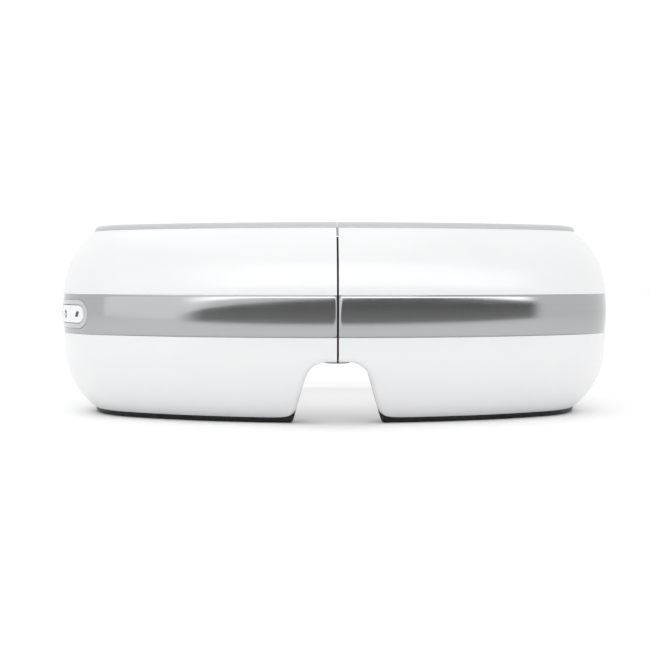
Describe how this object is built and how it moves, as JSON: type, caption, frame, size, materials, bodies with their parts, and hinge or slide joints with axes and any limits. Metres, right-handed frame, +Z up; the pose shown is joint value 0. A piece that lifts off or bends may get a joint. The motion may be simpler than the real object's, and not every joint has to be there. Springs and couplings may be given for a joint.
{
  "type": "eye massager mask",
  "caption": "Folding visor-shaped eye massager with a white front shell, a plated band, a centre hinge, air and heat pads, side controls and an elastic headband.",
  "frame": {"origin": "middle of the bounding box at the lower edge of the black rim, which the mask stands on", "axes": "+Z up, -Y to the front of the mask, +X to the wearer's left"},
  "size_m": [0.2129, 0.1738, 0.072],
  "materials": {
    "shell_white": "glossy white, moulded",
    "band_plated": "bright plated strip",
    "shell_black": "satin black, moulded",
    "bezel_grey": "glossy, light grey",
    "button_white": "satin white",
    "hinge_black": "black coated",
    "steel": "plain",
    "pad_leather": "soft grained, black",
    "bag_film": "translucent film",
    "heater_copper": "copper tracks on film",
    "webbing": "woven elastic, black",
    "ring_black": "satin black",
    "pump_body": "moulded",
    "rubber_dark": "moulded",
    "brass_part": "turned",
    "hose_silicone": "clear silicone",
    "speaker_black": "moulded",
    "mesh_black": "black, perforated",
    "battery_foil": "foil pouch",
    "board_green": "solder mask",
    "chip_black": "moulded",
    "film_amber": "flexible circuit"
  },
  "bodies": {
    "right_half": {"air_pump_right": "pump_body", "air_tube_right": "hose_silicone", "air_valve_right": "pump_body", "eye_airbag_right": "bag_film", "face_pad_right": "pad_leather", "front_shell_right": "shell_white", "heating_film_right": "heater_copper", "hinge_leaf_right": "hinge_black", "hinge_screws_right": "steel", "pump_diaphragm_right": "rubber_dark", "rear_shell_right": "shell_black", "shell_screws_right": "steel", "speaker_mesh_right": "mesh_black", "speaker_right": "speaker_black", "strap_pin_right": "steel", "temple_airbag_right": "bag_film", "trim_band_right": "band_plated", "vibration_motor_right": "steel", "hinge_pin": "steel", "panel_bezel": "bezel_grey", "key_board": "film_amber", "tact_switches": "chip_black", "main_board": "board_green", "board_chips": "chip_black", "usb_socket": "steel"},
    "left_half": {"air_pump_left": "pump_body", "air_tube_left": "hose_silicone", "air_valve_left": "pump_body", "eye_airbag_left": "bag_film", "face_pad_left": "pad_leather", "front_shell_left": "shell_white", "heating_film_left": "heater_copper", "hinge_leaf_left": "hinge_black", "hinge_screws_left": "steel", "pump_diaphragm_left": "rubber_dark", "rear_shell_left": "shell_black", "shell_screws_left": "steel", "speaker_left": "speaker_black", "speaker_mesh_left": "mesh_black", "strap_pin_left": "steel", "temple_airbag_left": "bag_film", "trim_band_left": "band_plated", "vibration_motor_left": "steel", "battery": "battery_foil"},
    "strap_right_end": {"strap_right": "webbing", "strap_ring": "ring_black"},
    "strap_left_end": {"strap_left": "webbing", "hook_tab": "webbing"},
    "mode_key": {"mode_button": "button_white"},
    "power_key": {"power_button": "button_white"},
    "sound_key": {"sound_button": "button_white"},
    "weight_right": {"vibration_weight_right": "brass_part"},
    "weight_left": {"vibration_weight_left": "brass_part"},
    "rotor_right": {"pump_rotor_right": "brass_part"},
    "rotor_left": {"pump_rotor_left": "brass_part"}
  },
  "joints": [
    {"name": "fold", "type": "hinge", "parent": "right_half", "child": "left_half", "pos_m": [0, -0.07202, 0.0438], "axis": [0, 0, 1], "range_deg": [0, 92]},
    {"name": "strap_right_swing", "type": "hinge", "parent": "right_half", "child": "strap_right_end", "pos_m": [-0.091, 0.00607, 0.036], "axis": [0, 0, 1], "range_deg": [0, 92]},
    {"name": "strap_left_swing", "type": "hinge", "parent": "left_half", "child": "strap_left_end", "pos_m": [0.091, 0.00607, 0.036], "axis": [0, 0, 1], "range_deg": [-92, 0]},
    {"name": "mode_press", "type": "slide", "parent": "right_half", "child": "mode_key", "axis": [0.7886, 0.615, 0], "range_m": [0, 0.0005], "stiffness_N_per_m": 400, "springref_m": -0.001},
    {"name": "power_press", "type": "slide", "parent": "right_half", "child": "power_key", "axis": [0.9103, 0.4139, 0], "range_m": [0, 0.0005], "stiffness_N_per_m": 400, "springref_m": -0.001},
    {"name": "sound_press", "type": "slide", "parent": "right_half", "child": "sound_key", "axis": [0.9818, 0.19, 0], "range_m": [0, 0.0005], "stiffness_N_per_m": 400, "springref_m": -0.001},
    {"name": "weight_right_spin", "type": "hinge", "parent": "right_half", "child": "weight_right", "pos_m": [-0.05188, -0.06407, 0.02], "axis": [0, 0, 1], "continuous": true},
    {"name": "rotor_right_spin", "type": "hinge", "parent": "right_half", "child": "rotor_right", "pos_m": [-0.0777, -0.0561, 0.037], "axis": [0, 0, 1], "continuous": true},
    {"name": "weight_left_spin", "type": "hinge", "parent": "left_half", "child": "weight_left", "pos_m": [0.05188, -0.06407, 0.02], "axis": [0, 0, 1], "continuous": true},
    {"name": "rotor_left_spin", "type": "hinge", "parent": "left_half", "child": "rotor_left", "pos_m": [0.0777, -0.0561, 0.037], "axis": [0, 0, 1], "continuous": true}
  ],
  "couplings": [
    {"joint": "strap_right_swing", "follows": "fold", "ratio": 1},
    {"joint": "strap_left_swing", "follows": "fold", "ratio": -1}
  ]
}
